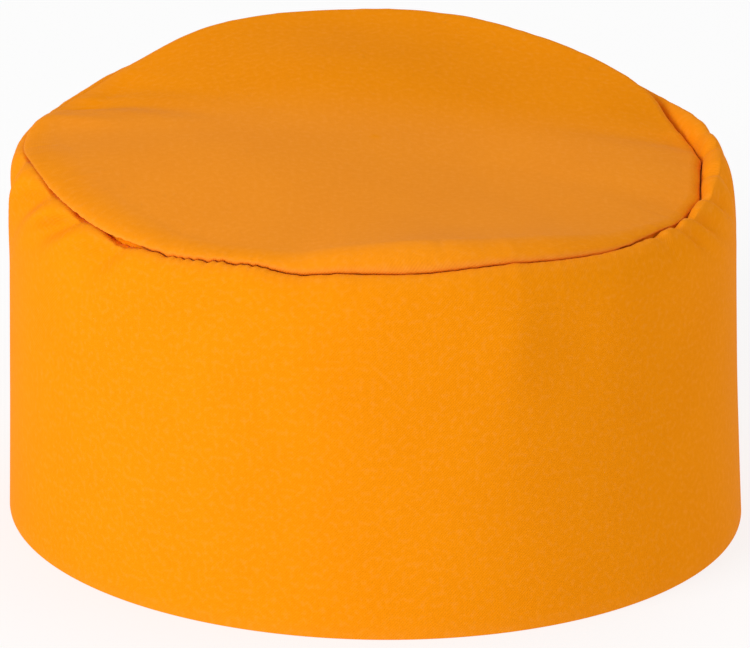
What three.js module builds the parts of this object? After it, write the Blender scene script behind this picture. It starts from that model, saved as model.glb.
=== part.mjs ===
// Chef skull cap: an upright side band of twill, sewn round a soft round top that has slouched.
// Millimetres, +Z up. The origin is the middle of the rim, on the surface that the cap rests on.
// The front of the cap looks along -Y. Angles are in degrees round the cap from +X, so -90 is the front.

import * as THREE from 'three';

// Driving sizes
const rimDiameter = 186; // across the rim, outside
const rimOval = 1.56; // how far the oval rim leaves its mean circle
const rimOvalAngle = -44; // direction of the oval's long axis
const bandHeight = 92; // from the rim up to the seam, at the front
const clothThickness = 1.2; // the doubled twill
const hemHeight = 22; // how far the band is turned up inside the rim
const seamAllowance = 9; // the edges that hang inside, below the seam
const seamClearance = 0.3; // between the band and the top panel, face to face in the seam

// The edges on both sides of the seam, each where it is largest
const wallLean = 2; // how far the wall's top stands inside the rim, on the right
const leftLean = 1; // and on the left
const shoulderReach = 3.4; // how far the band's roll stands inside the wall
const shoulderFall = 17; // how far the shoulder's curve comes down from the roll
const shoulderPower = 1.7; // power of that curve on the right: 2 is a quarter ellipse, 1 a straight slope
const leftPower = 2.4; // and on the left, where the shoulder is tighter
const rollReach = 2.55; // hollow of the band's roll, across
const rollRise = 5.4; // hollow of the band's roll, above the seam
const lipReach = 8; // hollow of the top panel's lip, across
const lipRise = 6.4; // hollow of the top panel's lip, above the seam
const lipOver = 2.5; // how far the lip's edge stands out over the seam, where it hangs over the band
const leastOver = 0.15; // and where it doesn't
const tuckDepth = 1.5; // how far the band's roll is let down under that edge
const drawnIn = 0.5; // and drawn in

// The cloth between the edges
const crownRise = 6; // the middle of the top above the front seam, without its swells
const sideTilt = -4.1; // the right of the top, against its middle
const backTilt = 3.7; // the back of the top, against its middle
const swellRise = 4; // the highest swell of the top
const creaseDepth = 2.4; // the deepest crease of the top
const dentDepth = 1; // the deepest dent of the wall
const gatherDepth = 1.4; // the deepest gather under the seam
const gatherLength = 11; // the longest gather, down from the seam

const clothColour = 0xf0941c;
const clothRoughness = 0.85;

// Names the columns of a table, so that each row is read by name
function table(columns, rows) {
  return rows.map((row) => Object.fromEntries(columns.map((name, place) => [name, row[place]])));
}

// Sections round the cap. seamHigh is a share of bandHeight, lipHigh of lipRise and lipWide of lipReach.
// sunk is 1 where the seam has sunk deep between the band's roll and the top, and over is 1 where the lip
// hangs right over the band. Where both are 0 the two edges stand side by side.
const sections = table(
  ['angle', 'seamHigh', 'sunk', 'lipHigh', 'lipWide', 'over'],
  [
    [-180, 1.03, 0, 0.35, 0.6, 1],
    [-165, 1.058, 0, 0.2, 1, 1],
    [-150, 1.027, 0, 0.42, 1, 1],
    [-138, 1, 0, 0.52, 0.9, 0.9],
    [-125, 0.991, 0, 0.38, 0.7, 0.5],
    [-110, 1.005, 0, 0.3, 0.5, 0.35],
    [-103, 0.992, 0, 0.52, 0.4, 0.4],
    [-95, 1, 0, 0.72, 0.35, 0.45],
    [-83, 0.998, 0, 0.94, 0.35, 0.45],
    [-70, 1.004, 0, 0.66, 0.35, 0.45],
    [-58, 0.989, 0, 0.61, 0.35, 0.4],
    [-46, 0.972, 0, 0.38, 0.35, 0.3],
    [-34, 0.965, 0.05, 0.17, 0.3, 0.1],
    [-22, 0.946, 0.45, 0.22, 0.25, 0],
    [-8, 0.951, 0.85, 0.34, 0.25, 0],
    [8, 0.948, 1, 0.38, 0.25, 0],
    [22, 0.955, 0.75, 0.5, 0.25, 0],
    [35, 0.99, 0.05, 0.62, 0.25, 0],
    [60, 1.034, 0, 0.88, 0.3, 0.3],
    [75, 1.062, 0, 0.92, 0.35, 0.3],
    [90, 1.07, 0, 0.95, 0.4, 0.3],
    [120, 1.061, 0, 0.92, 0.35, 0.3],
    [140, 1.034, 0, 0.4, 0.3, 0.2],
    [150, 1.015, 0, 0.25, 0.3, 0.4],
    [162, 1.014, 0, 0.5, 0.35, 0.8],
    [172, 1.022, 0, 0.5, 0.45, 1],
  ],
);

// Shares of the edges' sizes where the seam has not sunk. Where it is sunk by 1 they are all 1.
const unsunk = { shoulderReach: 0.82, shoulderFall: 0.72, rollReach: 0.26, rollRise: 0.14 };

// Dents of the wall, and bulges where depth is below 0. high and tall are shares of bandHeight, depth is
// a share of dentDepth, and spread is in degrees.
const dents = table(
  ['angle', 'high', 'spread', 'tall', 'depth'],
  [
    [-128, 0.84, 22, 0.09, 0.9], // hollow under the seam, front left
    [-98, 0.45, 7, 0.5, -0.7], // soft upright fold, left of the middle
    [-82, 0.5, 9, 0.45, 0.6], // flat stretch between the two folds
    [-68, 0.8, 5, 0.16, -0.7], // upper end of the right fold
    [-57, 0.78, 7, 0.14, 1], // hollow beside it
    [-30, 0.7, 12, 0.2, 0.5], // slack cloth under the sunken corner
    [60, 0.7, 16, 0.2, 0.6], // back right
    [110, 0.55, 14, 0.3, -0.5], // back left
    [165, 0.8, 10, 0.12, 0.5], // left end
  ],
);

// Gathers where the band is eased into the seam, and ridges where depth is below 0. depth is a share of
// gatherDepth, length is a share of gatherLength, and spread is in degrees.
const gathers = table(
  ['angle', 'spread', 'depth', 'length'],
  [
    [-174, 2.8, 1.4, 0.9],
    [-168, 1.6, -0.4, 0.9],
    [-160, 3.2, 1.6, 0.9],
    [-151, 1.6, -0.4, 0.9],
    [-146.5, 2, 1.2, 0.7],
    [-143, 1.4, -0.3, 0.7],
    [-136, 3.6, 1.6, 0.7],
    [-37, 1.6, 0.7, 0.7],
    [-31, 1.3, 1, 0.9],
    [-25, 1.6, 1.4, 1],
    [-20.5, 1.8, -0.3, 0.8],
    [-16.5, 1.9, 1.5, 1],
    [-12, 1.8, -0.3, 0.8],
    [-6.5, 2.2, 1.6, 0.9],
    [0, 1.8, -0.4, 0.8],
    [5, 2, 1, 0.7],
    [13, 2.4, 0.6, 0.7],
  ],
);

// Flats of the seam, which is a polygon with soft corners on the right, seen from above
const flats = table(
  ['from', 'to'],
  [
    [-44, -29],
    [-29, -14],
    [-14, 5],
    [5, 13],
    [13, 30],
  ],
);

// Swells of the top. out and width are shares of the seam's radius, and rise is a share of swellRise.
const swells = table(
  ['angle', 'out', 'width', 'rise'],
  [
    [100, 0.55, 0.36, 1], // the back of the top, propped up by the cloth's spring
    [-150, 0.45, 0.3, 0.3], // front left
    [-20, 0.4, 0.35, -0.35], // low stretch towards the sunken corner
  ],
);

// Creases of the top, each from its edge inwards, and ridges where depth is below 0. The outs and the width
// are shares of the seam's radius, and depth is a share of creaseDepth.
const creases = table(
  ['fromAngle', 'fromOut', 'toAngle', 'toOut', 'width', 'depth'],
  [
    [157, 1, 160, 0.42, 0.075, 1], // left
    [169, 1, 178, 0.7, 0.04, -0.35], // small ridge below it
    [12, 1, 18, 0.55, 0.07, 0.7], // right
  ],
);

// Stretches of equal steps round the cap, finer where the gathers are
const stretches = table(
  ['from', 'to', 'steps'],
  [
    [-180, -170, 4],
    [-170, -126, 22],
    [-126, -44, 18],
    [-44, 8, 27],
    [8, 30, 8],
    [30, 180, 26],
  ],
);
const wallShares = [0, 0.3, 0.6, 0.85, 1]; // rows of the wall, from the hem to the shoulder
const shoulderTurns = [22, 45, 68, 90]; // degrees of the shoulder's curve, up to the roll's crest
const rollTurns = [120, 150, 180]; // and on, over the crest into the seam
const lipTurns = [0, 30, 60, 90]; // degrees of the lip's curve, from its crest into the seam
const crownShares = [0.14, 0.28, 0.42, 0.55, 0.67, 0.78, 0.87, 0.94]; // rings of the top, inside the lip

const edgeFade = 4; // power by which the lip's own rise and fall fades out towards the middle of the top
const tuckFade = 4; // power by which the tuck comes on with the lip's overhang
const fullTurn = 360;
const radians = THREE.MathUtils.degToRad;
const lerp = THREE.MathUtils.lerp;

// Bell curve, 1 in the middle and 0 far off
function bell(distance, spread) {
  return Math.exp(-((distance / spread) ** 2));
}

function total(values) {
  return values.reduce((sum, value) => sum + value, 0);
}

// A place on the top, seen from above
function placeAt(angle, radius) {
  return new THREE.Vector2(radius * Math.cos(radians(angle)), radius * Math.sin(radians(angle)));
}

// The shorter way between two angles, in degrees
function angleBetween(first, second) {
  const turn = Math.abs(first - second) % fullTurn;
  return Math.min(turn, fullTurn - turn);
}

// Reads a column of the sections at any angle, on a smooth closed curve through the rows
function sectionValue(column, angle) {
  const after = sections.findIndex((row) => row.angle > angle);
  const start = (after < 0 ? sections.length : after) - 1;
  const [back, low, high, ahead] = [-1, 0, 1, 2].map((offset) => {
    const turns = Math.floor((start + offset) / sections.length);
    const row = sections[start + offset - turns * sections.length];
    return { angle: row.angle + turns * fullTurn, value: row[column] };
  });
  const span = high.angle - low.angle;
  const share = (angle - low.angle) / span;
  const lowSlope = (span * (high.value - back.value)) / (high.angle - back.angle);
  const highSlope = (span * (ahead.value - low.value)) / (ahead.angle - low.angle);
  const step = high.value - low.value;
  const bend = 3 * step - 2 * lowSlope - highSlope;
  const twist = lowSlope + highSlope - 2 * step;
  return low.value + share * (lowSlope + share * (bend + share * twist));
}

function rimRadius(angle) {
  return rimDiameter / 2 + rimOval * Math.cos(2 * radians(angle - rimOvalAngle));
}

// Share of the seam's radius that its flats leave, which is 1 at their corners
function flatAt(angle) {
  const shares = flats.map(({ from, to }) => {
    const half = (to - from) / 2;
    const off = Math.min(angleBetween(angle, from + half), half);
    return Math.cos(radians(half)) / Math.cos(radians(off));
  });
  return Math.min(...shares);
}

// The wall's top, the band's roll, the seam and the top panel's lip at one angle, worked out from the
// wall inwards, so that the cloth always has room to bend.
function edgesAt(angle) {
  const sunk = sectionValue('sunk', angle);
  const over = THREE.MathUtils.clamp(sectionValue('over', angle), 0, 1);
  const share = (name) => lerp(unsunk[name], 1, sunk);
  const toRight = (1 + Math.cos(radians(angle))) / 2;
  const wallRadius = rimDiameter / 2 - lerp(leftLean, wallLean, toRight);
  const shoulderCurl = 2 / lerp(leftPower, shoulderPower, toRight);
  const shoulder = shoulderReach * share('shoulderReach');
  const rollRadius = wallRadius - clothThickness - shoulder - drawnIn * over;
  const rolled = rollRadius - clothThickness - rollReach * share('rollReach');
  const bandFace = rolled * flatAt(angle);
  const topFace = bandFace - seamClearance;
  const lipRadius = topFace - clothThickness - lipReach * sectionValue('lipWide', angle);
  const lipEdge = topFace + leastOver + lipOver * over;
  const seamHeight = bandHeight * sectionValue('seamHigh', angle);
  const tuckHeight = seamHeight - tuckDepth * (1 - (1 - over) ** tuckFade);
  const edgeHeight = seamHeight + clothThickness;
  const rollHeight = tuckHeight + clothThickness + rollRise * share('rollRise');
  const lipHeight = seamHeight + clothThickness + lipRise * sectionValue('lipHigh', angle);
  const wallHeight = seamHeight + rollRise * share('rollRise') - shoulderFall * share('shoulderFall');
  const hangHeight = seamHeight - seamAllowance;
  return {
    wallRadius,
    wallHeight,
    shoulderCurl,
    rollRadius,
    rollHeight,
    bandFace,
    tuckHeight,
    topFace,
    lipRadius,
    lipHeight,
    lipEdge,
    edgeHeight,
    seamHeight,
    hangHeight,
  };
}

// How far the wall is dented at one place. The hem keeps the rim's own oval.
function dentAt(angle, height) {
  const free = THREE.MathUtils.smoothstep(height, 0, 2 * hemHeight);
  const depths = dents.map((dent) => {
    const round = bell(angleBetween(angle, dent.angle), dent.spread);
    return dent.depth * round * bell(height / bandHeight - dent.high, dent.tall);
  });
  return free * dentDepth * total(depths);
}

// How deep the gathers are at one place, by its way down from the roll's crest. least is -1 with the
// ridges, and 0 without them.
function gatherAt(angle, down, least) {
  const depths = gathers.map((gather) => {
    const round = bell(angleBetween(angle, gather.angle), gather.spread);
    return Math.max(gather.depth, least) * round * bell(down, gatherLength * gather.length);
  });
  return gatherDepth * total(depths);
}

// One skin of the band at one angle, from the hem's top over the roll and down to the cut edge. inset is
// how far it lies inside the outer skin.
function bandSkin(angle, inset) {
  const edges = edgesAt(angle);
  const rim = rimRadius(angle);
  const pushedIn = (height) => dentAt(angle, height) + gatherAt(angle, edges.rollHeight - height, -1);
  const letDown = (height) => gatherAt(angle, edges.rollHeight - height, 0);
  const wall = wallShares.map((share) => {
    const height = lerp(hemHeight, edges.wallHeight, share);
    const lean = (rim - edges.wallRadius) * Math.sin((Math.PI / 2) * (height / edges.wallHeight));
    return [rim - lean - inset - pushedIn(height), height];
  });
  const shoulder = shoulderTurns.map((turn) => {
    const across = Math.cos(radians(turn)) ** edges.shoulderCurl;
    const up = Math.sin(radians(turn)) ** edges.shoulderCurl;
    const height = edges.wallHeight + (edges.rollHeight - edges.wallHeight - inset) * up;
    const radius = edges.rollRadius + (edges.wallRadius - edges.rollRadius - inset) * across;
    return [radius - pushedIn(height) * across, height - letDown(height) * up];
  });
  const roll = rollTurns.map((turn) => {
    const across = Math.cos(radians(turn));
    const up = Math.sin(radians(turn));
    const height = edges.tuckHeight + (edges.rollHeight - edges.tuckHeight - inset) * up;
    const radius = edges.rollRadius + (edges.rollRadius - edges.bandFace - inset) * across;
    return [radius, height - letDown(height) * up];
  });
  return [...wall, ...shoulder, ...roll, [edges.bandFace + inset, edges.hangHeight]];
}

// The band's closed outline at one angle, from the rim's outer corner up and back down inside
function bandSection(angle) {
  const outside = bandSkin(angle, 0);
  const inside = bandSkin(angle, clothThickness);
  const hem = rimRadius(angle) - 2 * clothThickness;
  return [[rimRadius(angle), 0], ...outside, ...inside.reverse(), [hem, hemHeight], [hem, 0]];
}

// How far the creases push the top down at one place
function creaseAt(angle, radius) {
  const place = placeAt(angle, radius);
  const depths = creases.map((crease) => {
    const reach = edgesAt(crease.fromAngle).topFace;
    const start = placeAt(crease.fromAngle, crease.fromOut * reach);
    const way = placeAt(crease.toAngle, crease.toOut * reach).sub(start);
    const along = THREE.MathUtils.clamp(place.clone().sub(start).dot(way) / way.lengthSq(), 0, 1);
    const off = place.distanceTo(start.addScaledVector(way, along));
    return crease.depth * (1 - along) * bell(off, crease.width * reach);
  });
  return creaseDepth * total(depths);
}

// How far the swells lift the top at one place
function swellAt(angle, radius) {
  const place = placeAt(angle, radius);
  const rises = swells.map((swell) => {
    const reach = edgesAt(swell.angle).topFace;
    const off = place.distanceTo(placeAt(swell.angle, swell.out * reach));
    return swell.rise * bell(off, swell.width * reach);
  });
  return swellRise * total(rises);
}

// Height of the top inside its lip. share is 0 in the middle and 1 at the lip.
function crownAt(angle, share, edges) {
  const middle = bandHeight + crownRise;
  const tilt = placeAt(angle, 1).dot(new THREE.Vector2(sideTilt, backTilt));
  const lipsOwn = (edges.lipHeight - middle - tilt) * share ** edgeFade;
  const radius = share * edges.lipRadius;
  const swell = swellAt(angle, radius) * (1 - share ** edgeFade);
  return middle + tilt * share + lipsOwn + swell - creaseAt(angle, radius);
}

// One skin of the top at one angle, from its innermost ring over the lip, which ends at endRadius and
// endHeight
function topSkin(angle, inset, endRadius, endHeight) {
  const edges = edgesAt(angle);
  const crown = crownShares.map((share) => [share * edges.lipRadius, crownAt(angle, share, edges) - inset]);
  const lip = lipTurns.map((turn) => {
    const across = Math.sin(radians(turn));
    const up = Math.cos(radians(turn));
    const crease = creaseAt(angle, edges.lipRadius) * up;
    return [
      edges.lipRadius + (endRadius - edges.lipRadius - inset) * across,
      endHeight + (edges.lipHeight - endHeight - inset) * up - crease,
    ];
  });
  return [...crown, ...lip];
}

// The top's closed outline at one angle. Its outer skin goes out over the band and back to the seam.
function topSection(angle) {
  const edges = edgesAt(angle);
  const outside = topSkin(angle, 0, edges.lipEdge, edges.edgeHeight);
  const inside = topSkin(angle, clothThickness, edges.topFace, edges.seamHeight);
  const seam = [edges.topFace, edges.seamHeight];
  const cutEdge = [edges.topFace, edges.hangHeight];
  const innerEdge = [edges.topFace - clothThickness, edges.hangHeight];
  return [...inside, innerEdge, cutEdge, seam, ...outside.reverse()];
}

const angles = stretches.flatMap(({ from, to, steps }) =>
  Array.from({ length: steps }, (unused, step) => lerp(from, to, step / steps)),
);

// Joins one outline for each angle into a closed skin. Without poles each outline closes on itself, and
// with poles it runs between two points on the axis.
function loft(sectionAt, poles = []) {
  const rings = angles.map((angle) =>
    sectionAt(angle).map(([radius, height]) => [
      radius * Math.cos(radians(angle)),
      radius * Math.sin(radians(angle)),
      height,
    ]),
  );
  const length = rings[0].length;
  const vertex = (ring, place) => (ring % rings.length) * length + (place % length);
  const faces = [];
  for (let ring = 0; ring < rings.length; ring += 1) {
    const strips = poles.length ? length - 1 : length;
    for (let place = 0; place < strips; place += 1) {
      const [low, high] = [vertex(ring, place), vertex(ring + 1, place + 1)];
      faces.push(low, vertex(ring + 1, place), high, low, high, vertex(ring, place + 1));
    }
    poles.forEach((height, pole) => {
      const tip = rings.length * length + pole;
      const place = pole ? length - 1 : 0;
      const [first, second] = pole ? [ring, ring + 1] : [ring + 1, ring];
      faces.push(tip, vertex(first, place), vertex(second, place));
    });
  }
  const tips = poles.map((height) => [0, 0, height]);
  const geometry = new THREE.BufferGeometry();
  geometry.setAttribute('position', new THREE.Float32BufferAttribute([...rings.flat(), ...tips].flat(), 3));
  geometry.setIndex(faces);
  geometry.computeVertexNormals();
  return geometry;
}

function clothPiece(name, geometry) {
  const finish = { color: clothColour, roughness: clothRoughness, metalness: 0 };
  const piece = new THREE.Mesh(geometry, new THREE.MeshStandardMaterial(finish));
  piece.name = name;
  return piece;
}

function sideBand() {
  return clothPiece('side_band', loft(bandSection));
}

function topPanel() {
  const middle = crownAt(0, 0, edgesAt(0));
  return clothPiece('top_panel', loft(topSection, [middle - clothThickness, middle]));
}

const cap = new THREE.Group();
cap.name = 'chef_skull_cap';
cap.add(sideBand(), topPanel());

export default cap;
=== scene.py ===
"""Looks of the chef skull cap: its twill, seam, folds and stitches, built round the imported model.

The shapes are worked out in millimetres, and the meshes are in metres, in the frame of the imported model:
+Z up and the front along -Y. Angles are in degrees round the cap from +X, so -90 is the front.
"""

import math
from types import SimpleNamespace

import bpy
import numpy as np
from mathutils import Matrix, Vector, noise


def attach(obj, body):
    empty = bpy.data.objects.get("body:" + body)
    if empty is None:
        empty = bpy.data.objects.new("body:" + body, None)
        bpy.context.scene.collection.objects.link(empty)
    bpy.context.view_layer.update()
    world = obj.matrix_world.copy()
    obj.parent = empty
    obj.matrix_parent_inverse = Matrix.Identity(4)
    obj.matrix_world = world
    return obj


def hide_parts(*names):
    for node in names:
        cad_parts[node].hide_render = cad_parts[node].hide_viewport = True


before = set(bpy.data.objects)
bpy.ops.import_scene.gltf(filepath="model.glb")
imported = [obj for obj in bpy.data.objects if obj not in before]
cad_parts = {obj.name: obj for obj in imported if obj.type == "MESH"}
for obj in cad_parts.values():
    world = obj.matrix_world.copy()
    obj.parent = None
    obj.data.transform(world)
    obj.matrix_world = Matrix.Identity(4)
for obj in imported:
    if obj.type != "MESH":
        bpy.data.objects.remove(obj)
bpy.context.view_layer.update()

# Driving sizes, the same as the solid model's
RIM_DIAMETER = 186.0  # across the rim, outside
RIM_OVAL = 1.56  # how far the oval rim leaves its mean circle
RIM_OVAL_ANGLE = -44.0  # direction of the oval's long axis
BAND_HEIGHT = 92.0  # from the rim up to the seam, at the front
CLOTH_THICKNESS = 1.2  # the doubled twill
HEM_HEIGHT = 22.0  # how far the band is turned up inside the rim
SEAM_ALLOWANCE = 9.0  # the edges that hang inside, below the seam
SEAM_CLEARANCE = 0.3  # between the band and the top, face to face in the seam
WALL_LEAN = 2.0  # how far the wall's top stands inside the rim, on the right
LEFT_LEAN = 1.0  # and on the left
SHOULDER_REACH = 3.4  # how far the band's roll stands inside the wall
SHOULDER_FALL = 17.0  # how far the shoulder's curve comes down from the roll
SHOULDER_POWER = 1.7  # power of that curve on the right: 2 is a quarter ellipse, 1 a straight slope
LEFT_POWER = 2.4  # and on the left, where the shoulder is tighter
ROLL_REACH = 2.55  # hollow of the band's roll, across
ROLL_RISE = 5.4  # hollow of the band's roll, above the seam
LIP_REACH = 8.0  # hollow of the top's lip, across
LIP_RISE = 6.4  # hollow of the top's lip, above the seam
LIP_OVER = 2.5  # how far the lip's edge stands out over the seam, where it hangs over the band
LEAST_OVER = 0.15  # and where it does not hang
DRAWN_IN = 0.5  # how far the band's roll is drawn in, where the lip hangs over it
CROWN_RISE = 6.0  # the middle of the top above the front seam, without its swells
SIDE_TILT = -4.1  # the right of the top, against its middle
BACK_TILT = 3.7  # the back of the top, against its middle
SWELL_RISE = 4.0  # the highest swell of the top
CREASE_DEPTH = 2.4  # the deepest crease of the top
DENT_DEPTH = 1.0  # the deepest dent of the wall
GATHER_DEPTH = 1.4  # a gather under the seam whose share is 1
GATHER_LENGTH = 11.0  # and its length, down from the band's roll
EDGE_FADE = 4  # power by which the lip's own height fades out towards the middle of the top

# Sizes of what only shows here
TUCK_DEPTH = 1.15  # how far the band's roll is let down beside the lip's edge
HOLLOW_FADE = (0.9, 1.1)  # the lip is hollow below where tucked is under the first, rounded over the second
HELD_UP = 0.6  # how much less the gathers lower the band's roll, where the lip hangs over it
JAG_DEPTH = 0.45  # small ups and downs of the seam, from stitch to stitch
JAG_LENGTH = 1.7
FOLD_RISE = 0.3  # height of the hem's rounded fold
FOLD_SQUARE = 0.5  # below 1 makes the fold squarer than round
BACK_SEAM_ANGLE = 90.0
BACK_SEAM_DEPTH = 0.5
BACK_SEAM_WIDTH = 0.5
BACK_RIDGE_SHARE = 0.4  # height of the soft ridges beside the back seam, as a share of its depth
BACK_RIDGE_WIDTH = 3  # and their width, in widths of the seam
BACK_STRIP = (5.4, 5.9)  # degrees from the back seam between which its allowance, pressed open inside, ends
BACK_STRIP_SHARE = 0.7  # what the allowance adds, as a share of the cloth's thickness
RIPPLE_COUNT = 90  # small random puckers along the seam
RIPPLE_DEPTH = 0.15
RIPPLE_LENGTH = 9.0
RIPPLE_LENGTHS = (0.4, 1.3)  # least and most, as shares of RIPPLE_LENGTH
RIPPLE_SPREAD = 1.1  # degrees
RIPPLE_SPREADS = (0.6, 1.4)  # least and most, as shares of RIPPLE_SPREAD
RIPPLE_SHIFT = 0.4  # how far one may leave its place, as a share of the way to the next
SLACK_DEPTH = 0.25  # slow waves of the cloth
SLACK_WIDTH = 34.0
HEART = 12.0  # the middle of the top, where its waves fade out
THREAD_RADIUS = 0.22
THREAD_SIDES = 6
STITCH_SHAPE = [(0, 0.3), (0.2, 0.9), (0.8, 0.9), (1, 0.3)]  # way along it, and share of the radius there
UPRIGHT = 0.9  # share of a stitch's way that goes up or down, above which it counts as upright
HEM_STITCHES = 190
HEM_STITCH_LENGTH = 2.2
EDGE_STITCHES = 260  # the overcast stitches on the seam's cut edges, inside
EDGE_STITCH_RISE = 4.5

# Rows of points in each stretch of the skins, from the hem up to the roll and from the middle out to the lip
HEM_ROWS = 6
WALL_ROWS = 26
SHOULDER_ROWS = 16
ROLL_ROWS = 12
CROWN_ROWS = 40
LIP_ROWS = 18
UNDER_ROWS = 5
HANG_ROWS = 5
FOLD_ROWS = 9
BROW_ROWS = 5  # over the hem's upper edge, inside
INNER_STEP = 2  # the inner skins take every second row of the outer ones

# Places in those rows: the band's crest and seam, and the top's lip
CREST = HEM_ROWS + WALL_ROWS + SHOULDER_ROWS
BAND_SEAM = CREST + ROLL_ROWS - 1
LIP_START = CROWN_ROWS - 1
LIP_MIDDLE = LIP_START + LIP_ROWS // 2
LIP_EDGE = LIP_START + LIP_ROWS - 1
TOP_SEAM = LIP_EDGE + UNDER_ROWS + 1

# The weave, in millimetres
WALE_PITCH = 0.58
WALE_DRIFT = 1.6  # how far the wales wander
YARN_PITCH = 0.3
YARN_SHARE = 0.3  # height of the upright yarns, as a share of the wales'
WEFT_SHARE = 0.2  # and of the level yarns
WEAVE_SHARE = 0.5  # height of the weave, as a share of the uneven cloth's
WEAVE_HEIGHT = 0.035

# Noises of the cloth, each by its scale per millimetre and its detail
DRIFT_NOISE = (0.12, 2.0)
UNEVEN_NOISE = (2.2, 3.0)
MOTTLED_NOISE = (0.65, 2.0)
CLOUDY_NOISE = (0.045, 3.0)
NOISE_MIDDLE = 0.5

# How much each of them shows in the dye, from deep at 0 to light at 1
CLOUDY_TONE = 0.5
UNEVEN_TONE = 0.35
MOTTLED_TONE = 0.75
WEAVE_TONE = 0.06
DYE_DEEP = (0.84, 0.245, 0.0015, 1)
DYE_LIGHT = (0.93, 0.295, 0.003, 1)

# How much of the pale colour shows, from 0 to 1: scuffed edges and flecks, and painted sheen and a painted
# highlight. Widths are in millimetres.
PALE_WEAR_AND_SHEEN = (0.9, 0.38, 0.12, 1)
EDGE_SHARE = 0.04  # on scuffed edges
SCUFF_WIDTH = 2.5
HIGHLIGHT_SHARE = 0.15  # on the lip's own edge, a fine painted highlight
HIGHLIGHT_WIDTH = 0.8
PAINTED_SHEEN_SHARE = 0.12  # on the top's front: painted sheen, where the flat top catches light at a glancing angle
PAINTED_SHEEN_LINE = 33.0  # how far behind the middle that painted sheen starts
PAINTED_SHEEN_WIDTH = 32.0
FLECK_SHARE = 0.33  # in pale flecks all over

TWILL_ROUGHNESS = 0.9
TWILL_SPECULAR = 0.02
SHEEN = 0.05
SHEEN_ROUGHNESS = 0.2
SHEEN_TINT = (1.0, 0.95, 0.9, 1)
THREAD_ROUGHNESS = 0.5
THREAD_SPECULAR = 0.3

# The studio, in metres and degrees
CAMERA_RISE = 20.0
CAMERA_DISTANCE = 2.0
CAMERA_CENTRE = 0.05  # height that the camera stands back from
CAMERA_AIM = 0.04817  # height that it looks at
CAMERA_SENSOR = 36.0  # millimetres
CAMERA_FOCUS = 10.555  # focal length, in widths of the sensor
CAMERA_NEAR = 0.1
FLOOR_SIZE = 12.0
FLOOR_COLOUR = (0.25, 0.25, 0.25, 1)
FLOOR_ROUGHNESS = 0.9
FLOOR_SPECULAR = 0.1
FLOOR_GLOW = 0.745
WORLD_LIGHT = 0.55
WHITE = (1, 1, 1, 1)

SEED = 7
MM = 0.001
FULL_TURN = 360.0
CLOTH_MAP = "cloth"
# Attribute of where the pale colour shows: scuffed edges, and painted sheen and a painted highlight on the
# top
WEAR_AND_SHEEN = "wear_and_sheen"


def table(columns, rows):
    """Names the columns of a table, so that each row is read by name."""
    return [SimpleNamespace(**dict(zip(columns.split(), row))) for row in rows]


# Sections round the cap. seam_high is a share of BAND_HEIGHT, lip_high of LIP_RISE and lip_wide of LIP_REACH.
# sunk is 1 where the seam has sunk deep between the band's roll and the top, over is 1 where the lip hangs
# right over the band, tucked is a share of TUCK_DEPTH, and jagged is a share of JAG_DEPTH.
SECTIONS = table(
    "angle seam_high sunk lip_high lip_wide over tucked jagged",
    [
        (-180, 1.03, 0, 0.35, 0.6, 1, 0.87, 0.4),
        (-165, 1.058, 0, 0.2, 1, 1, 0.87, 0.4),
        (-150, 1.027, 0, 0.42, 1, 1, 0.87, 0.5),
        (-138, 1, 0, 0.52, 0.9, 0.9, 0.87, 0.6),
        (-125, 0.991, 0, 0.38, 0.7, 0.5, 1.1, 1.4),
        (-110, 1.005, 0, 0.3, 0.5, 0.5, 1.2, 1.4),
        (-103, 0.992, 0, 0.52, 0.4, 0.5, 1.2, 0.5),
        (-95, 1.0, 0, 0.72, 0.35, 0.5, 1.2, 0.3),
        (-83, 0.998, 0, 0.94, 0.35, 0.5, 1.2, 0.3),
        (-70, 1.004, 0, 0.66, 0.35, 0.5, 1.2, 0.3),
        (-58, 0.989, 0, 0.61, 0.35, 0.5, 1.2, 0.3),
        (-46, 0.972, 0, 0.38, 0.35, 0.4, 1, 0.3),
        (-34, 0.965, 0.05, 0.17, 0.3, 0.1, 0.4, 0.3),
        (-22, 0.946, 0.45, 0.22, 0.25, 0, 0, 0.3),
        (-8, 0.951, 0.85, 0.34, 0.25, 0, 0, 0.3),
        (8, 0.948, 1, 0.38, 0.25, 0, 0, 0.3),
        (22, 0.955, 0.75, 0.5, 0.25, 0, 0, 0.3),
        (35, 0.99, 0.05, 0.62, 0.25, 0, 0, 0.3),
        (60, 1.034, 0, 0.88, 0.3, 0.3, 0.8, 0.3),
        (75, 1.062, 0, 0.92, 0.35, 0.3, 0.8, 0.3),
        (90, 1.07, 0, 0.95, 0.4, 0.3, 0.8, 0.3),
        (120, 1.061, 0, 0.92, 0.35, 0.3, 0.8, 0.3),
        (140, 1.034, 0, 0.4, 0.6, 0.2, 0.8, 0.3),
        (150, 1.015, 0, 0.25, 0.9, 0.4, 0.8, 0.3),
        (162, 1.014, 0, 0.5, 0.6, 0.8, 0.87, 0.3),
        (172, 1.022, 0, 0.5, 0.45, 1, 0.87, 0.4),
    ],
)

# Shares of the edges' sizes where the seam has not sunk. Where it is sunk by 1 they are all 1.
UNSUNK = {"shoulder_reach": 0.82, "shoulder_fall": 0.72, "roll_reach": 0.26, "roll_rise": 0.14}

# Dents of the wall, and bulges where depth is below 0. high and tall are shares of BAND_HEIGHT, depth is a
# share of DENT_DEPTH, and spread is in degrees.
DENTS = table(
    "angle high spread tall depth",
    [
        (-128, 0.84, 22, 0.09, 0.9),
        (-98, 0.45, 7, 0.5, -0.7),
        (-82, 0.5, 9, 0.45, 0.6),
        (-68, 0.8, 5, 0.16, -0.7),
        (-57, 0.78, 7, 0.14, 1),
        (-30, 0.7, 12, 0.2, 0.5),
        (60, 0.7, 16, 0.2, 0.6),
        (110, 0.55, 14, 0.3, -0.5),
        (165, 0.8, 10, 0.12, 0.5),
    ],
)

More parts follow.
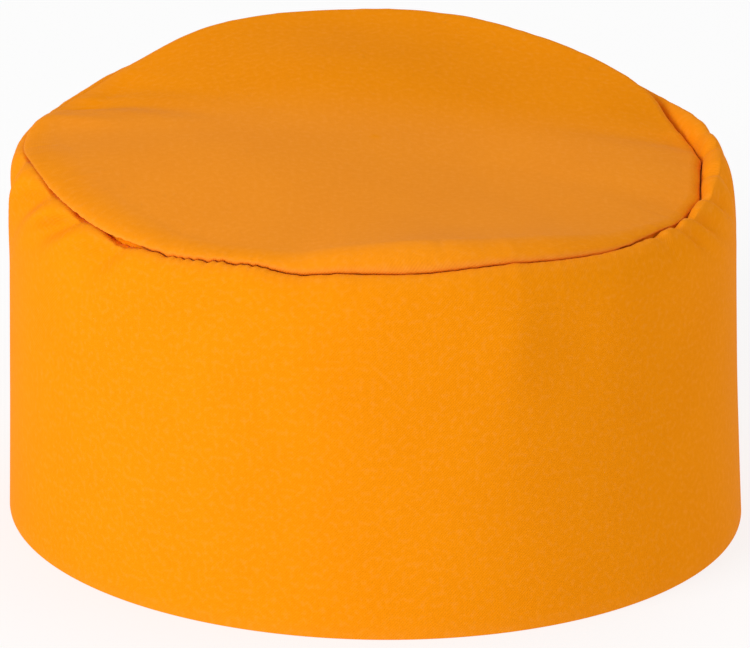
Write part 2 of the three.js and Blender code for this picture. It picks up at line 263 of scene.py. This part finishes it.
# Gathers where the band is eased into the seam. depth is a share of GATHER_DEPTH, length is a share of
# GATHER_LENGTH, spread is in degrees, and slant is in degrees round the cap for each millimetre down.
GATHERS = table(
    "angle spread depth length slant",
    [
        (-171, 3.4, 2.2, 1, -0.6),
        (-163, 2.4, -1, 1.4, -0.6),
        (-156, 3, 2.6, 1.3, -0.7),
        (-150.5, 2, -1.1, 1.3, -0.8),
        (-146, 2.6, 2.6, 1.2, -0.8),
        (-141, 2, -1.1, 1.2, -0.8),
        (-135.5, 3.4, 2.8, 1, -0.5),
        (-37, 1.6, 0.7, 0.7, 0.3),
        (-31, 1.3, 1, 0.9, 0.7),
        (-28.5, 1.6, -0.5, 1.1, 0.8),
        (-25, 1.6, 1.4, 0.9, 0.8),
        (-20.5, 1.8, -0.5, 1, 0.8),
        (-16.5, 1.9, 1.5, 1, 0.7),
        (-12, 1.8, -0.4, 0.9, 0.5),
        (-6.5, 2.2, 1.6, 0.9, 0.3),
        (0, 1.8, -0.4, 0.8, 0),
        (5, 2, 1, 0.7, 0),
        (13, 2.4, 0.6, 0.7, 0),
    ],
)

# Flats of the top's edge, which is a polygon with soft corners on the right, seen from above
FLATS = table(
    "start end",
    [
        (-44, -29),
        (-29, -14),
        (-14, 5),
        (5, 13),
        (13, 30),
    ],
)

# Swells of the top. out and width are shares of the seam's radius, and rise is a share of SWELL_RISE.
SWELLS = table(
    "angle out width rise",
    [
        (100, 0.55, 0.36, 1),
        (-150, 0.45, 0.3, 0.3),
        (-20, 0.4, 0.35, -0.35),
    ],
)

# Creases of the top, each from its edge inwards. The outs and the width are shares of the seam's radius, and
# depth is a share of CREASE_DEPTH.
CREASES = table(
    "from_angle from_out to_angle to_out width depth",
    [
        (158, 1, 167, 0.42, 0.065, 1),
        (169, 1, 178, 0.7, 0.04, -0.35),
        (12, 1, 18, 0.55, 0.07, 0.7),
        (-78.8, 1, -78.8, 0.92, 0.02, 0.3),
    ],
)

# Stretches of equal steps round the cap, finer where the puckers and the back seam are
STRETCHES = table(
    "start end steps",
    [
        (90, 93, 12),
        (93, 180, 100),
        (180, 222, 100),
        (222, 264, 140),
        (264, 318, 110),
        (318, 368, 120),
        (368, 447, 90),
        (447, 450, 12),
    ],
)

# Lights round the cap: direction and rise in degrees, distance and size in metres, power in watts
LIGHTS = table(
    "name angle rise distance size power",
    [
        ("key", -138, 22, 2.4, 1.2, 34),
        ("fill", -20, 25, 2.6, 1.6, 7),
        ("overhead", 60, 65, 2.2, 1.6, 8),
    ],
)


def bell(distance, spread):
    """Bell curve, 1 in the middle and 0 far off."""
    return np.exp(-((distance / spread) ** 2))


def lerp(start, end, share):
    """Goes from start at share 0 to end at share 1."""
    return start + (end - start) * share


def smoothstep(value, low, high):
    """Goes softly from 0 at low to 1 at high."""
    share = np.clip((value - low) / (high - low), 0, 1)
    return share * share * (3 - 2 * share)


def angle_between(first, second):
    """The shorter way between two angles, in degrees."""
    turn = np.abs(first - second) % FULL_TURN
    return np.minimum(turn, FULL_TURN - turn)


def place_at(angle, radius):
    """Places on the top, seen from above."""
    turn = np.radians(angle)
    return np.stack(np.broadcast_arrays(radius * np.cos(turn), radius * np.sin(turn)), -1)


def section_value(column, angle):
    """Reads a column of the sections at any angles, on a smooth closed curve through the rows."""
    angles = np.array([row.angle for row in SECTIONS], float)
    values = np.array([getattr(row, column) for row in SECTIONS], float)
    turned = (np.asarray(angle, float) - angles[0]) % FULL_TURN + angles[0]
    start = np.searchsorted(angles, turned, side="right") - 1
    near = [start + offset for offset in (-1, 0, 1, 2)]
    at = [angles[n % len(angles)] + n // len(angles) * FULL_TURN for n in near]
    value = [values[n % len(angles)] for n in near]
    span = at[2] - at[1]
    share = (turned - at[1]) / span
    low_slope = span * (value[2] - value[0]) / (at[2] - at[0])
    high_slope = span * (value[3] - value[1]) / (at[3] - at[1])
    step = value[2] - value[1]
    bend = 3 * step - 2 * low_slope - high_slope
    twist = low_slope + high_slope - 2 * step
    return value[1] + share * (low_slope + share * (bend + share * twist))


def rim_radius(angle):
    """Radius of the oval rim."""
    return RIM_DIAMETER / 2 + RIM_OVAL * np.cos(2 * np.radians(angle - RIM_OVAL_ANGLE))


def flat_at(angle):
    """Share of the top's radius that its flats leave, which is 1 at their corners."""
    share = np.ones(np.shape(angle))
    for flat in FLATS:
        half = (flat.end - flat.start) / 2
        off = angle_between(angle, flat.start + half)
        chord = math.cos(math.radians(half)) / np.cos(np.radians(np.minimum(off, half)))
        share = np.minimum(share, chord)
    return share


def jag_at(angle):
    """Small ups and downs of the seam."""
    places = place_at(angle, RIM_DIAMETER / 2 / JAG_LENGTH).reshape(-1, 2)
    jags = [noise.noise(Vector((*place, SEED))) for place in places]
    return JAG_DEPTH * np.reshape(jags, np.shape(angle))


def edges_at(angle, hung=1):
    """The wall's top, the band's roll, the seam and the lip, worked out from the wall inwards.

    The lip hangs over the band where hung is 1, and ends at the seam where it is 0.
    """
    sunk = section_value("sunk", angle)
    over = section_value("over", angle)

    def share(name):
        return lerp(UNSUNK[name], 1, sunk)

    edges = SimpleNamespace()
    to_right = (1 + np.cos(np.radians(angle))) / 2
    edges.wall_radius = RIM_DIAMETER / 2 - lerp(LEFT_LEAN, WALL_LEAN, to_right)
    edges.shoulder_curl = 2 / lerp(LEFT_POWER, SHOULDER_POWER, to_right)
    edges.roll_radius = edges.wall_radius - CLOTH_THICKNESS - SHOULDER_REACH * share("shoulder_reach")
    edges.roll_radius = edges.roll_radius - DRAWN_IN * over
    rolled = edges.roll_radius - CLOTH_THICKNESS - ROLL_REACH * share("roll_reach")
    edges.band_face = rolled * flat_at(angle)
    edges.top_face = edges.band_face - SEAM_CLEARANCE
    edges.lip_radius = edges.top_face - CLOTH_THICKNESS - LIP_REACH * section_value("lip_wide", angle)
    edges.lip_edge = edges.top_face + LEAST_OVER + LIP_OVER * np.maximum(over, 0) * hung
    edges.hanging = np.clip(over, 0, 1)
    edges.lip_hollow = 1 - smoothstep(section_value("tucked", angle), *HOLLOW_FADE)
    seam_line = BAND_HEIGHT * section_value("seam_high", angle)
    edges.seam_height = seam_line + section_value("jagged", angle) * jag_at(angle)
    edges.tuck_height = edges.seam_height - TUCK_DEPTH * np.maximum(section_value("tucked", angle), 0)
    edges.edge_height = edges.seam_height + CLOTH_THICKNESS
    edges.roll_height = edges.tuck_height + CLOTH_THICKNESS + ROLL_RISE * share("roll_rise")
    edges.lip_height = seam_line + CLOTH_THICKNESS + LIP_RISE * section_value("lip_high", angle)
    edges.wall_height = seam_line + ROLL_RISE * share("roll_rise") - SHOULDER_FALL * share("shoulder_fall")
    edges.hang_height = edges.seam_height - SEAM_ALLOWANCE
    return edges


def dent_at(angle, height):
    """How far the wall is dented at each place. The hem keeps the rim's own oval."""
    depths = [
        dent.depth
        * bell(angle_between(angle, dent.angle), dent.spread)
        * bell(height / BAND_HEIGHT - dent.high, dent.tall)
        for dent in DENTS
    ]
    return smoothstep(height, 0, 2 * HEM_HEIGHT) * DENT_DEPTH * sum(depths)


def gather_at(angle, down, least=-1):
    """How deep the gathers are at each place, by its way down from the roll's crest. Ridges are below 0."""
    depths = [
        max(gather.depth, least)
        * bell(angle_between(angle, gather.angle + gather.slant * down), gather.spread)
        * bell(down, GATHER_LENGTH * gather.length)
        for gather in GATHERS
    ]
    return GATHER_DEPTH * sum(depths)


def crease_at(angle, radius):
    """How far the creases push the top down at each place."""
    place = place_at(angle, radius)
    pushed = 0
    for crease in CREASES:
        reach = edges_at(crease.from_angle).top_face
        start = place_at(crease.from_angle, crease.from_out * reach)
        way = place_at(crease.to_angle, crease.to_out * reach) - start
        along = np.clip((place - start) @ way / (way @ way), 0, 1)
        off = np.linalg.norm(place - start - along[..., None] * way, axis=-1)
        pushed = pushed + crease.depth * (1 - along) * bell(off, crease.width * reach)
    return CREASE_DEPTH * pushed


def swell_at(angle, radius):
    """How far the swells lift the top at each place."""
    place = place_at(angle, radius)
    lifted = 0
    for swell in SWELLS:
        reach = edges_at(swell.angle).top_face
        off = np.linalg.norm(place - place_at(swell.angle, swell.out * reach), axis=-1)
        lifted = lifted + swell.rise * bell(off, swell.width * reach)
    return SWELL_RISE * lifted


def crown_at(angle, share, edges):
    """Height of the top inside its lip. share is 0 in the middle and 1 at the lip."""
    middle = BAND_HEIGHT + CROWN_RISE
    tilt = place_at(angle, 1.0) @ np.array([SIDE_TILT, BACK_TILT])
    lips_own = (edges.lip_height - middle - tilt) * share**EDGE_FADE
    radius = share * edges.lip_radius
    swell = swell_at(angle, radius) * (1 - share**EDGE_FADE)
    return middle + tilt * share + lips_own + swell - crease_at(angle, radius)


def band_profile(angle):
    """Radius and height of the band's outer skin, from the fold up over the roll to the cut edge."""
    edges = edges_at(angle)
    rim = rim_radius(angle)

    def pushed_in(height):
        return dent_at(angle, height) + gather_at(angle, edges.roll_height - height)

    def let_down(height):
        return gather_at(angle, edges.roll_height - height, least=0) * (1 - HELD_UP * edges.hanging)

    hem = lerp(FOLD_RISE, HEM_HEIGHT, np.linspace(0, 1, HEM_ROWS, endpoint=False))
    wall = lerp(HEM_HEIGHT, edges.wall_height, np.linspace(0, 1, WALL_ROWS, endpoint=False))
    height = np.concatenate([hem + 0 * angle, wall], axis=1)
    lean = (rim - edges.wall_radius) * np.sin(math.pi / 2 * height / edges.wall_height)
    rows = [(rim - lean - pushed_in(height), height)]
    turn = np.radians(np.linspace(0, 90, SHOULDER_ROWS, endpoint=False))
    height = lerp(edges.wall_height, edges.roll_height, np.sin(turn) ** edges.shoulder_curl)
    radius = lerp(edges.roll_radius, edges.wall_radius, np.cos(turn) ** edges.shoulder_curl)
    radius = radius - pushed_in(height) * np.cos(turn)
    rows.append((radius, height - let_down(height) * np.sin(turn)))
    turn = np.radians(np.linspace(90, 180, ROLL_ROWS))
    height = lerp(edges.tuck_height, edges.roll_height, np.sin(turn))
    radius = lerp(edges.roll_radius, edges.band_face, -np.cos(turn))
    rows.append((radius, height - let_down(height) * np.sin(turn)))
    height = lerp(edges.tuck_height, edges.hang_height, np.linspace(0, 1, HANG_ROWS)[1:])
    rows.append((edges.band_face + 0 * height, height))
    return [np.concatenate(parts, axis=1) for parts in zip(*rows)]


def top_profile(angle, hung):
    """Radius and height of the top's outer skin, from its innermost ring over the lip to the cut edge."""
    edges = edges_at(angle, hung)
    share = np.linspace(0, 1, CROWN_ROWS + 1)[1:-1]
    rows = [(share * edges.lip_radius, crown_at(angle, share, edges))]
    turn = np.radians(np.linspace(0, 90, LIP_ROWS))
    crease = crease_at(angle, edges.lip_radius) * np.cos(turn)
    radius = lerp(edges.lip_radius, edges.lip_edge, np.sin(turn))
    rows.append((radius, lerp(edges.edge_height, edges.lip_height, np.cos(turn)) - crease))
    turn = np.radians(np.linspace(0, 90, UNDER_ROWS + 1))[1:]
    across = lerp(np.cos(turn), 1 - np.sin(turn), edges.lip_hollow)
    up = lerp(1 - np.sin(turn), np.cos(turn), edges.lip_hollow)
    radius = lerp(edges.top_face, edges.lip_edge, across)
    rows.append((radius, lerp(edges.seam_height, edges.edge_height, up)))
    height = lerp(edges.seam_height, edges.hang_height, np.linspace(0, 1, HANG_ROWS)[1:])
    rows.append((edges.top_face + 0 * height, height))
    return [np.concatenate(parts, axis=1) for parts in zip(*rows)]


def skin_of(angle, radius, height):
    """Points of a skin, and its outward directions. The rows run from the first ring to the last."""
    turn = np.radians(angle)
    points = np.stack([radius * np.cos(turn), radius * np.sin(turn), height], -1)
    around = np.roll(points, -1, 0) - np.roll(points, 1, 0)
    along = np.gradient(points, axis=1)
    out = np.cross(around, along)
    return points, out / np.linalg.norm(out, axis=-1, keepdims=True)


def path_of(points):
    """Length along the cloth of each row, averaged round the cap."""
    steps = np.linalg.norm(np.diff(points, axis=1), axis=-1).mean(0)
    return np.concatenate([[0], np.cumsum(steps)])


def slack_of(points):
    """Slow random waves of the cloth, from the places in space."""
    offset = Vector((SEED, SEED, SEED))
    places = points.reshape(-1, 3) / SLACK_WIDTH
    waves = [noise.noise(Vector(place) + offset) for place in places]
    return SLACK_DEPTH * np.array(waves).reshape(points.shape[:-1])


def ripples_at(angle, down):
    """Small random puckers beside the seam, at each way down from it."""
    rng = np.random.default_rng(SEED)
    depth = 0
    for slot in range(RIPPLE_COUNT):
        at = (slot + rng.uniform(-RIPPLE_SHIFT, RIPPLE_SHIFT)) * FULL_TURN / RIPPLE_COUNT
        spread = RIPPLE_SPREAD * rng.uniform(*RIPPLE_SPREADS)
        length = RIPPLE_LENGTH * rng.uniform(*RIPPLE_LENGTHS)
        share = rng.uniform(-1, 1)
        depth = depth + share * bell(angle_between(angle, at), spread) * bell(down, length)
    return RIPPLE_DEPTH * depth


def back_seam_at(angle, radius):
    """Groove of the plain seam up the band's back, between two soft ridges."""
    off = np.radians(angle_between(angle, BACK_SEAM_ANGLE)) * radius
    width = BACK_RIDGE_WIDTH * BACK_SEAM_WIDTH
    ridge = BACK_RIDGE_SHARE * BACK_SEAM_DEPTH * bell(off - width, width)
    return ridge - BACK_SEAM_DEPTH * bell(off, BACK_SEAM_WIDTH)


# Angles of the rings of points, as a column
ANGLES = np.concatenate([np.linspace(row.start, row.end, row.steps, endpoint=False) for row in STRETCHES])
ANGLES = ANGLES[:, None]


def lay_band(angle, path):
    """Places of the band on its flat cloth."""
    return np.stack(np.broadcast_arrays(np.radians(angle) * RIM_DIAMETER / 2, path), -1)


def lay_top(angle, path):
    """Places of the top on its flat cloth, by the way out from its middle."""
    return place_at(angle, path)


def closed_skin(points, path, lay, poles=()):
    """Vertices, faces and map of a skin through rings, which closes on itself or runs between poles."""
    rings, rows = points.shape[:2]
    strips = rows - 1 if len(poles) else rows
    ring, row = (grid.ravel() for grid in np.meshgrid(np.arange(rings), np.arange(strips), indexing="ij"))
    corners = [(ring, row), (ring + 1, row), (ring + 1, row + 1), (ring, row + 1)]
    around = np.append(ANGLES[:, 0], ANGLES[0, 0] + FULL_TURN)
    faces = np.stack([(k % rings) * rows + j % rows for k, j in corners], -1).tolist()
    mapped = [np.stack([lay(around[k], path[j % rows]) for k, j in corners], 1).reshape(-1, 2)]
    k = np.arange(rings)
    for pole in range(len(poles)):
        tip = rings * rows + pole
        row = (rows - 1) * pole
        first, second = (k, k + 1) if pole else (k + 1, k)
        faces += np.stack([0 * k + tip, first % rings * rows + row, second % rings * rows + row], -1).tolist()
        middle = lay(around[k], 0 * k)
        edge = [lay(around[turned], path[row]) for turned in (first, second)]
        mapped.append(np.stack([middle, *edge], 1).reshape(-1, 2))
    tips = [[0, 0, height] for height in poles]
    vertices = np.concatenate([points.reshape(-1, 3), *np.array(tips, float).reshape(-1, 1, 3)])
    return vertices, faces, np.concatenate(mapped)


def add_object(name, data):
    """Adds an object to the scene."""
    thing = bpy.data.objects.new(name, data)
    bpy.context.scene.collection.objects.link(thing)
    return thing


def add_piece(name, vertices, faces, material):
    """Adds a smooth piece, given in millimetres, that rides on the cap's one body."""
    mesh = bpy.data.meshes.new(name)
    mesh.from_pydata((vertices * MM).tolist(), [], faces)
    mesh.shade_smooth()
    mesh.materials.append(material)
    piece = add_object(name, mesh)
    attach(piece, "root")
    return piece


def add_cloth(name, skin, wear_and_sheen, material):
    """Adds a piece of cloth with its map and its pale marks: scuffs, and painted sheen and highlight."""
    vertices, faces, mapped = skin
    piece = add_piece(name, vertices, faces, material)
    piece.data.uv_layers.new(name=CLOTH_MAP).data.foreach_set("uv", mapped.astype(np.float32).ravel())
    lightened = piece.data.attributes.new(WEAR_AND_SHEEN, "FLOAT", "POINT")
    lightened.data.foreach_set("value", wear_and_sheen.astype(np.float32))
    return piece


def relieved(points, out, down, held):
    """Moves a skin out and in by its slow waves and its puckers, but not where held is 1."""
    moved = (slack_of(points) + ripples_at(ANGLES, down)) * (1 - held)
    return points + moved[..., None] * out


def half_turn(rows):
    """Angles inside a half turn, in radians, without its ends."""
    return np.linspace(0, math.pi, rows + 2)[1:-1]


def make_band(material):
    """The band: its outer skin, its inner skin, the hem's upper edge and the hem, and the fold at the rim."""
    radius, height = band_profile(ANGLES)
    points, out = skin_of(ANGLES, radius, height)
    path = path_of(points)
    down = np.abs(path - path[CREST])
    in_seam = smoothstep(path, path[CREST], path[BAND_SEAM])
    in_hem = 1 - smoothstep(path, HEM_HEIGHT, 2 * HEM_HEIGHT)
    points = relieved(points, out, down, in_seam + in_hem)
    points = points + (back_seam_at(ANGLES, RIM_DIAMETER / 2) * (path < path[CREST]))[..., None] * out
    strip = 1 - smoothstep(angle_between(ANGLES, BACK_SEAM_ANGLE), *BACK_STRIP)
    depth = CLOTH_THICKNESS * (1 + BACK_STRIP_SHARE * strip * (path < path[BAND_SEAM]))
    inside = (points - depth[..., None] * out)[:, HEM_ROWS::INNER_STEP]
    hem = points[:, :HEM_ROWS] - 2 * CLOTH_THICKNESS * out[:, :HEM_ROWS]
    at_hem = slice(HEM_ROWS, HEM_ROWS + 1)
    turn = half_turn(BROW_ROWS)
    into = lerp(depth[:, at_hem], 2 * CLOTH_THICKNESS, (1 - np.cos(turn)) / 2)
    brow = points[:, at_hem] - into[..., None] * out[:, at_hem]
    brow[..., 2] += CLOTH_THICKNESS / 2 * np.sin(turn)
    turn = half_turn(FOLD_ROWS)
    across = np.sign(np.cos(turn)) * np.abs(np.cos(turn)) ** FOLD_SQUARE
    fold = points[:, :1] - out[:, :1] * (CLOTH_THICKNESS * (1 + across))[:, None]
    fold[..., 2] = FOLD_RISE * (1 - np.sin(turn) ** FOLD_SQUARE)
    rings = np.concatenate([points, inside[:, ::-1], brow, hem[:, ::-1], fold], axis=1)
    brow_path = np.full(BROW_ROWS, path[HEM_ROWS])
    inner_path = path[HEM_ROWS::INNER_STEP]
    rows = np.concatenate([path, inner_path[::-1], brow_path, path[:HEM_ROWS][::-1], np.zeros(FOLD_ROWS)])
    lightened = EDGE_SHARE * (bell(rows - path[CREST], SCUFF_WIDTH) + bell(rows, SCUFF_WIDTH))
    skin = closed_skin(rings, rows, lay_band)
    return add_cloth("band_cloth", skin, np.tile(lightened, len(ANGLES)), material)


def top_skin(hung):
    """Points of the top's outer skin, its outward directions, and the way out to each row."""
    radius, height = top_profile(ANGLES, hung)
    points, out = skin_of(ANGLES, radius, height)
    path = path_of(points) + radius.mean(0)[0]
    in_seam = smoothstep(path, path[LIP_MIDDLE], path[TOP_SEAM])
    heart = 1 - smoothstep(path, 0, HEART)
    points = relieved(points, -out, np.abs(path - path[LIP_MIDDLE]), np.maximum(in_seam, heart))
    return points, -out, path


def make_top(material):
    """The top: its inner skin, which ends at the seam without a lip that hangs, and its outer skin."""
    points, _, path = top_skin(hung=1)
    plain_points, plain_out, plain_path = top_skin(hung=0)
    inside = (plain_points - CLOTH_THICKNESS * plain_out)[:, ::INNER_STEP]
    rings = np.concatenate([inside, points[:, ::-1]], axis=1)
    rows = np.concatenate([plain_path[::INNER_STEP], path[::-1]])
    middle = crown_at(0.0, 0.0, edges_at(0.0))
    skin = closed_skin(rings, rows, lay_top, [middle - CLOTH_THICKNESS, middle])
    # Painted sheen: the top's front, which faces up and catches light at a glancing angle, is painted paler
    # than its back.
    painted_sheen = PAINTED_SHEEN_SHARE * smoothstep(PAINTED_SHEEN_LINE - rings[..., 1], 0, PAINTED_SHEEN_WIDTH)
    painted_sheen = painted_sheen * (1 - smoothstep(rows, path[LIP_START], path[LIP_MIDDLE]))
    lightened = EDGE_SHARE * bell(rows - path[LIP_MIDDLE], SCUFF_WIDTH)
    # Painted highlight: a fine pale line along the lip's edge, where it catches the light.
    lightened = lightened + HIGHLIGHT_SHARE * bell(rows - path[LIP_EDGE], HIGHLIGHT_WIDTH)
    return add_cloth("top_cloth", skin, np.append((lightened + painted_sheen).ravel(), [0, 0]), material)


def make_thread(name, starts, ends, material):
    """Adds stitches as one piece. Each is a short length of thread that tapers at both ends."""
    way = ends - starts
    length = np.linalg.norm(way, axis=-1, keepdims=True)
    way = way / length
    side = np.cross(way, [0, 0, 1]) + np.cross(way, [0, 1, 0]) * (np.abs(way[:, 2:]) > UPRIGHT)
    side = side / np.linalg.norm(side, axis=-1, keepdims=True)
    up = np.cross(side, way)
    turn = np.arange(THREAD_SIDES) / THREAD_SIDES * 2 * math.pi
    loop = side[:, None] * np.cos(turn)[:, None] + up[:, None] * np.sin(turn)[:, None]
    rings = [
        (starts + at * length * way)[:, None] + share * THREAD_RADIUS * loop for at, share in STITCH_SHAPE
    ]
    vertices = np.stack(rings, 1).reshape(-1, 3)
    each = len(STITCH_SHAPE) * THREAD_SIDES
    faces = []
    for first in range(0, len(vertices), each):
        for ring in range(len(STITCH_SHAPE) - 1):
            low = first + ring * THREAD_SIDES
            for k in range(THREAD_SIDES):
                after = (k + 1) % THREAD_SIDES
                faces.append((low + k, low + after, low + after + THREAD_SIDES, low + k + THREAD_SIDES))
        faces.append(tuple(range(first + THREAD_SIDES - 1, first - 1, -1)))
        faces.append(tuple(range(first + each - THREAD_SIDES, first + each)))
    add_piece(name, vertices, faces, material)


def turns_of(count):
    """Angles of evenly spaced stitches, as a column."""
    return np.linspace(BACK_SEAM_ANGLE, BACK_SEAM_ANGLE + FULL_TURN, count, endpoint=False)[:, None]


def make_hem_thread(material):
    """Running stitches inside, just below the hem's upper edge."""
    angle = turns_of(HEM_STITCHES)
    points, out = skin_of(angle, *band_profile(angle))
    places = (points - (2 * CLOTH_THICKNESS + THREAD_RADIUS / 2) * out)[:, HEM_ROWS - 1]
    ahead = np.roll(places, -1, 0) - places
    ahead = ahead / np.linalg.norm(ahead, axis=-1, keepdims=True) * HEM_STITCH_LENGTH
    make_thread("hem_thread", places, places + ahead, material)


def make_edge_thread(material):
    """Zigzag of overcast stitches on the inner face of the seam's cut edges, and loops over the edges."""
    angle = turns_of(EDGE_STITCHES)
    edges = edges_at(angle)
    inner = edges.top_face - CLOTH_THICKNESS - THREAD_RADIUS / 2
    outer = edges.band_face + CLOTH_THICKNESS + THREAD_RADIUS / 2
    low = edges.hang_height - THREAD_RADIUS / 2

    def at(radius, height):
        return np.concatenate([place_at(angle, radius)[:, 0], height], axis=1)

    upper = at(inner, low + EDGE_STITCH_RISE)
    lower = at(inner, low)
    across = at(outer, low)
    starts = np.concatenate([upper, lower, lower])
    ends = np.concatenate([lower, np.roll(upper, -1, 0), across])
    make_thread("edge_thread", starts, ends, material)


class Nodes:
    """Adds a material's nodes and joins their sockets."""

    def __init__(self, name):
        self.material = bpy.data.materials.new(name)
        self.material.use_nodes = True
        self.tree = self.material.node_tree
        self.shader = self.tree.nodes["Principled BSDF"]

    def join(self, value, socket):
        """Links another node's socket to this one, or sets a plain value on it."""
        if isinstance(value, bpy.types.NodeSocket):
            self.tree.links.new(value, socket)
        else:
            socket.default_value = value

    def fill(self, node, **values):
        """Joins values to a node's sockets by their names, with _ for a space."""
        for name, value in values.items():
            self.join(value, node.inputs[name.replace("_", " ")])

    def add(self, kind, settings=(), **values):
        """Adds a node with its settings and the values of its sockets."""
        node = self.tree.nodes.new(kind)
        for key, value in dict(settings).items():
            setattr(node, key, value)
        self.fill(node, **values)
        return node

    def maths(self, operation, *values):
        """Does one step of arithmetic."""
        node = self.add("ShaderNodeMath", {"operation": operation})
        for value, socket in zip(values, node.inputs):
            self.join(value, socket)
        return node.outputs[0]

    def noise(self, place, scale, detail):
        """Soft random pattern between 0 and 1."""
        return self.add("ShaderNodeTexNoise", Vector=place, Scale=scale, Detail=detail).outputs["Fac"]

    def mix(self, share, *colours):
        """Mixes two colours. The node has sockets of other kinds too, with the same names."""
        node = self.add("ShaderNodeMix", {"data_type": "RGBA"}, Factor=share)
        for colour, socket in zip(colours, (socket for socket in node.inputs if socket.type == "RGBA")):
            self.join(colour, socket)
        return next(socket for socket in node.outputs if socket.type == "RGBA")


def twill_material():
    """Orange cotton twill: upright yarns crossed by slanting wales, with uneven dye, scuffed edges, and
    painted sheen and a painted highlight on the top.
    """
    nodes = Nodes("orange_twill")
    maths = nodes.maths
    place = nodes.add("ShaderNodeUVMap", {"uv_map": CLOTH_MAP}).outputs["UV"]
    parts = nodes.add("ShaderNodeSeparateXYZ", Vector=place).outputs

    def wave(along, pitch):
        return maths("SINE", maths("MULTIPLY", along, 2 * math.pi / pitch))

    drift = maths("MULTIPLY", nodes.noise(place, *DRIFT_NOISE), WALE_DRIFT)
    slope = maths("ADD", maths("SUBTRACT", parts["X"], parts["Y"]), drift)
    wale = wave(slope, WALE_PITCH * math.sqrt(2))
    yarn = maths("MULTIPLY", wave(parts["X"], YARN_PITCH), YARN_SHARE)
    weft = maths("MULTIPLY", wave(parts["Y"], YARN_PITCH), WEFT_SHARE)
    weave = maths("ADD", wale, maths("ADD", yarn, weft))
    uneven = nodes.noise(place, *UNEVEN_NOISE)
    mottled = maths("SUBTRACT", nodes.noise(place, *MOTTLED_NOISE), NOISE_MIDDLE)
    cloudy = nodes.noise(place, *CLOUDY_NOISE)
    height = maths("ADD", maths("MULTIPLY", weave, WEAVE_SHARE), uneven)
    bump = nodes.add("ShaderNodeBump", Height=height, Strength=1.0, Distance=WEAVE_HEIGHT * MM)
    tone = maths("MULTIPLY", cloudy, CLOUDY_TONE)
    for pattern, share in ((uneven, UNEVEN_TONE), (mottled, MOTTLED_TONE), (weave, WEAVE_TONE)):
        tone = maths("ADD", tone, maths("MULTIPLY", pattern, share))
    # The pale colour over scuffed edges and flecks, and over painted sheen and a painted highlight on the top
    wear_and_sheen = nodes.add("ShaderNodeAttribute", {"attribute_name": WEAR_AND_SHEEN}).outputs["Fac"]
    flecks = maths("MULTIPLY", maths("MAXIMUM", mottled, 0), FLECK_SHARE)
    dyed = nodes.mix(tone, DYE_DEEP, DYE_LIGHT)
    nodes.fill(
        nodes.shader,
        Base_Color=nodes.mix(maths("ADD", wear_and_sheen, flecks), dyed, PALE_WEAR_AND_SHEEN),
        Normal=bump.outputs["Normal"],
        Roughness=TWILL_ROUGHNESS,
        Specular_IOR_Level=TWILL_SPECULAR,
        Sheen_Weight=SHEEN,
        Sheen_Roughness=SHEEN_ROUGHNESS,
        Sheen_Tint=SHEEN_TINT,
    )
    return nodes.material


def thread_material():
    """Sewing thread of the twill's own colour, a little shinier."""
    nodes = Nodes("orange_thread")
    nodes.fill(
        nodes.shader,
        Base_Color=DYE_LIGHT,
        Roughness=THREAD_ROUGHNESS,
        Specular_IOR_Level=THREAD_SPECULAR,
    )
    return nodes.material


def make_floor():
    """A plain pale floor, which glows a little so that it shows as white as a paper backdrop."""
    mesh = bpy.data.meshes.new("floor")
    half = FLOOR_SIZE / 2
    corners = [(-half, -half, 0), (half, -half, 0), (half, half, 0), (-half, half, 0)]
    mesh.from_pydata(corners, [], [(0, 1, 2, 3)])
    nodes = Nodes("floor_white")
    nodes.fill(
        nodes.shader,
        Base_Color=FLOOR_COLOUR,
        Roughness=FLOOR_ROUGHNESS,
        Specular_IOR_Level=FLOOR_SPECULAR,
        Emission_Color=WHITE,
        Emission_Strength=FLOOR_GLOW,
    )
    mesh.materials.append(nodes.material)
    add_object("floor", mesh)


def look_at(thing, target):
    """Turns a light or the camera towards a place."""
    way = Vector(target) - thing.location
    thing.rotation_euler = way.to_track_quat("-Z", "Y").to_euler()


def make_light(row):
    """A square area light that looks at the cap, from a direction round it and above the floor."""
    light = bpy.data.lights.new(row.name, "AREA")
    light.energy = row.power
    light.size = row.size
    lamp = add_object(row.name, light)
    turn, up = math.radians(row.angle), math.radians(row.rise)
    way = Vector((math.cos(turn) * math.cos(up), math.sin(turn) * math.cos(up), math.sin(up)))
    lamp.location = row.distance * way
    look_at(lamp, (0, 0, BAND_HEIGHT / 2 * MM))


def make_world():
    """Even white light from all round."""
    world = bpy.data.worlds.new("studio")
    world.use_nodes = True
    background = world.node_tree.nodes["Background"].inputs
    background["Color"].default_value = WHITE
    background["Strength"].default_value = WORLD_LIGHT
    bpy.context.scene.world = world


def make_camera():
    """The camera at the photo's viewing angle, straight in front and a little above."""
    lens = bpy.data.cameras.new("camera")
    lens.sensor_width = CAMERA_SENSOR
    lens.lens = CAMERA_SENSOR * CAMERA_FOCUS
    lens.clip_start = CAMERA_NEAR
    camera = add_object("camera", lens)
    rise = math.radians(CAMERA_RISE)
    back = Vector((0, -math.cos(rise), math.sin(rise)))
    camera.location = Vector((0, 0, CAMERA_CENTRE)) + CAMERA_DISTANCE * back
    look_at(camera, (0, 0, CAMERA_AIM))
    bpy.context.scene.camera = camera


bpy.context.scene.view_settings.view_transform = "Standard"
twill = twill_material()
band = make_band(twill)
top = make_top(twill)
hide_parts("side_band")
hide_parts("top_panel")
thread = thread_material()
make_hem_thread(thread)
make_edge_thread(thread)
make_floor()
make_world()
for row in LIGHTS:
    make_light(row)
make_camera()
